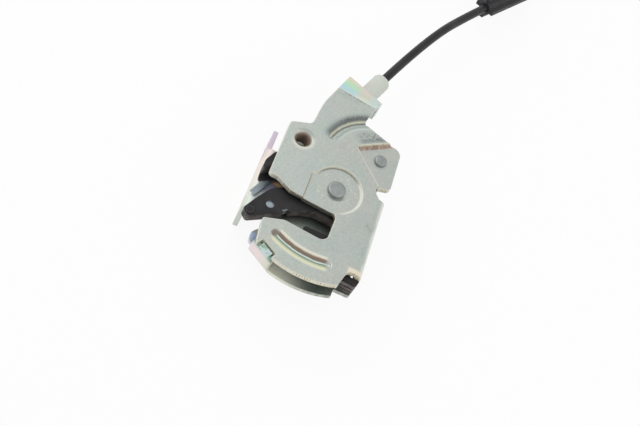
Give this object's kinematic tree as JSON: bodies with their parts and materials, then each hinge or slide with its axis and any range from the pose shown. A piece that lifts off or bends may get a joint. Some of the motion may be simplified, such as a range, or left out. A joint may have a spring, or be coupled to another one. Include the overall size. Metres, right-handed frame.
{
  "type": "vehicle door latch with release cable",
  "caption": "Rotary door latch in a two-plate zinc-plated steel housing, with a plastic-covered fork, a hidden pawl and a sheathed release cable.",
  "frame": {"origin": "middle of the latch without its cable, on the surface that the mounting flange's free edge stands on", "axes": "+Z out of the front plate, +Y up the plate towards the cable bracket, +X along the mouth towards its closed end, away from the mounting flange"},
  "size_m": [0.1299, 0.335, 0.0337],
  "materials": {
    "zinc_plate": "satin",
    "zinc_back": "satin",
    "rivet_steel": "satin",
    "bush": "satin",
    "fork_steel": "satin",
    "cover_plastic": "matte",
    "pawl_steel": "satin",
    "spring_steel": "satin",
    "rubber": "matte",
    "nylon": "satin",
    "sheath": "satin",
    "sleeve": "satin",
    "wire": "satin",
    "zinc_cast": "satin"
  },
  "bodies": {
    "base": {"front_plate": "zinc_plate", "back_plate": "zinc_back", "fork_rivet": "rivet_steel", "pawl_rivet": "rivet_steel", "fork_bush": "bush", "pawl_bush": "bush", "fork_washer": "bush", "fork_spring": "spring_steel", "pawl_spring": "spring_steel", "stop_bumper": "rubber", "end_buffer": "cover_plastic", "cable_ferrule": "nylon", "cable_outer": "sheath", "cable_sleeve": "sleeve", "cable_coil": "sheath", "cable_tail": "sheath", "far_ferrule": "nylon"},
    "fork": {"fork_core": "fork_steel", "fork_cover": "cover_plastic"},
    "pawl": {"pawl": "pawl_steel"},
    "cable_end": {"cable_wire": "wire", "cable_nipple": "zinc_cast"},
    "far_end": {"far_wire": "wire", "far_nipple": "zinc_cast"}
  },
  "joints": [
    {"name": "fork_hinge", "type": "hinge", "parent": "base", "child": "fork", "pos_m": [0.00605, -0.0144, 0.0259], "axis": [0, 0, 1], "range_deg": [-22, 0], "deforming": ["fork_spring"]},
    {"name": "pawl_hinge", "type": "hinge", "parent": "base", "child": "pawl", "pos_m": [0.02135, 0.0128, 0.0255], "axis": [0, 0, 1], "range_deg": [-22, 0], "deforming": ["pawl_spring"]},
    {"name": "cable_slide", "type": "slide", "parent": "base", "child": "cable_end", "axis": [0.3437, 0.9391, 0], "range_m": [0, 0.01137]},
    {"name": "far_slide", "type": "slide", "parent": "base", "child": "far_end", "axis": [-0.9989, 0, -0.0476], "range_m": [0, 0.01137]}
  ],
  "couplings": [
    {"joint": "pawl_hinge", "follows": "fork_hinge", "ratio": 1},
    {"joint": "cable_slide", "follows": "fork_hinge", "m_per_rad": -0.02962},
    {"joint": "far_slide", "follows": "fork_hinge", "m_per_rad": -0.02962}
  ]
}
